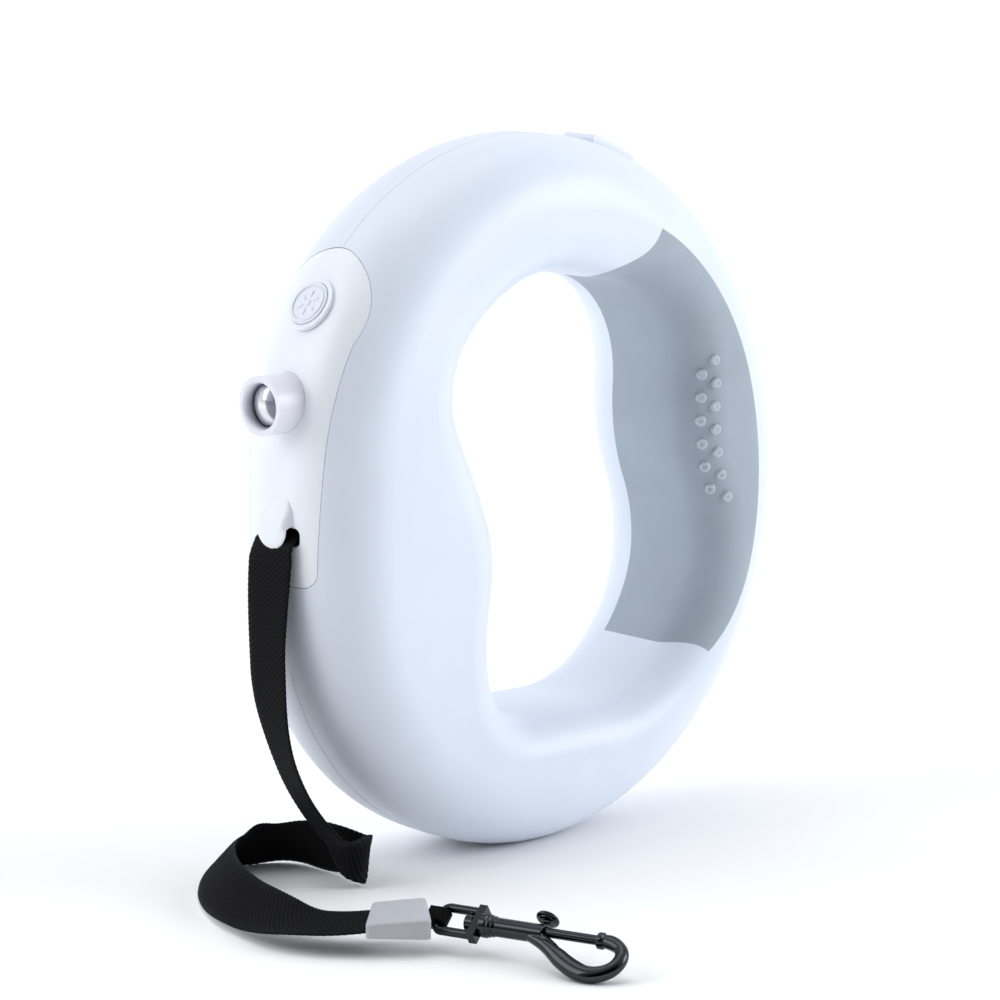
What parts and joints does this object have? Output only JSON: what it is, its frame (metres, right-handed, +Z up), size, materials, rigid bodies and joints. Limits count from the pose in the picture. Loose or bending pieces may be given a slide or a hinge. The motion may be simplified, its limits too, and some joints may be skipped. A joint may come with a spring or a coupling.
{
  "type": "retractable leash",
  "caption": "Ring-shaped retractable pet leash with a soft hand grip, front torch, thumb brake, flat tape and a swivel snap hook.",
  "frame": {"origin": "middle of the flat foot, on the surface the leash stands on", "axes": "+Z up, ring axis along Y, tape outlet and torch towards -X, hand grip towards +X"},
  "size_m": [0.1737, 0.1207, 0.1642],
  "materials": {
    "shell_white": "moulded satin ABS, cool white",
    "panel_white": "smooth inlaid panel",
    "grip_grey": "soft-touch moulded elastomer",
    "torch_plastic": "satin barrel",
    "lens_clear": "dark clear lens",
    "button_white": "satin button",
    "inner_plastic": "moulded acetal",
    "board_green": "circuit board",
    "led_white": "clear epoxy",
    "reflector_metal": "vacuum metallised",
    "steel": "plated steel",
    "spring_steel": "oiled spring steel",
    "hook_metal": "black nickel plate",
    "tape_black": "twill-woven nylon tape",
    "sleeve_grey": "moulded end sleeve"
  },
  "bodies": {
    "housing": {"front_panel": "panel_white", "grip_liner": "grip_grey", "front_shell": "shell_white", "back_shell": "shell_white", "shell_screws": "steel", "torch_barrel": "torch_plastic", "torch_lens": "lens_clear", "torch_reflector": "reflector_metal", "torch_led": "led_white", "torch_board": "board_green", "tact_switch": "inner_plastic", "control_board": "board_green", "cell_holder": "inner_plastic", "coin_cells": "steel", "reel_axle": "steel", "spring_cup": "inner_plastic", "spring_cover": "steel", "power_spring": "spring_steel", "inner_tape": "tape_black", "guide_pin": "steel", "lever_pin": "steel", "pawl_pin": "steel", "button_spring": "spring_steel", "outlet_lip": "panel_white", "leash_tape": "tape_black", "swivel_bow": "hook_metal", "end_sleeve": "sleeve_grey", "tape_end_loop": "tape_black"},
    "reel": {"reel_drum": "inner_plastic", "ratchet_wheel": "inner_plastic", "tape_winding": "tape_black", "spring_arbor": "inner_plastic"},
    "lever": {"brake_lever": "inner_plastic"},
    "pawl": {"brake_pawl": "steel"},
    "brake": {"brake_button": "button_white"},
    "light": {"light_button": "button_white"},
    "hook": {"hook_body": "hook_metal", "swivel_rivet": "hook_metal", "bolt_spring": "spring_steel"},
    "bolt": {"slide_bolt": "hook_metal"}
  },
  "joints": [
    {"name": "reel_spin", "type": "hinge", "parent": "housing", "child": "reel", "pos_m": [-0.0445, 0, 0.0677], "axis": [0, -1, 0], "range_deg": [0, 7200]},
    {"name": "brake_press", "type": "slide", "parent": "housing", "child": "brake", "axis": [0, 0, -1], "range_m": [0, 0.0024], "stiffness_N_per_m": 900, "deforming": ["button_spring"]},
    {"name": "lever_swing", "type": "hinge", "parent": "housing", "child": "lever", "pos_m": [-0.018, 0, 0.1477], "axis": [0, 1, 0], "range_deg": [0, 3]},
    {"name": "pawl_swing", "type": "hinge", "parent": "housing", "child": "pawl", "pos_m": [-0.06, 0, 0.0937], "axis": [0, -1, 0], "range_deg": [0, 9]},
    {"name": "light_press", "type": "slide", "parent": "housing", "child": "light", "axis": [0.8269, 0, -0.5624], "range_m": [0, 0.0006], "stiffness_N_per_m": 2500},
    {"name": "hook_swivel", "type": "hinge", "parent": "housing", "child": "hook", "pos_m": [-0.0722, -0.0626, 0.00625], "axis": [0.3123, -0.95, 0], "continuous": true},
    {"name": "bolt_slide", "type": "slide", "parent": "hook", "child": "bolt", "axis": [-0.3123, 0.95, 0], "range_m": [0, 0.006], "stiffness_N_per_m": 300}
  ],
  "couplings": [
    {"joint": "lever_swing", "follows": "brake_press", "rad_per_m": 21.812},
    {"joint": "pawl_swing", "follows": "brake_press", "rad_per_m": 65.445}
  ]
}
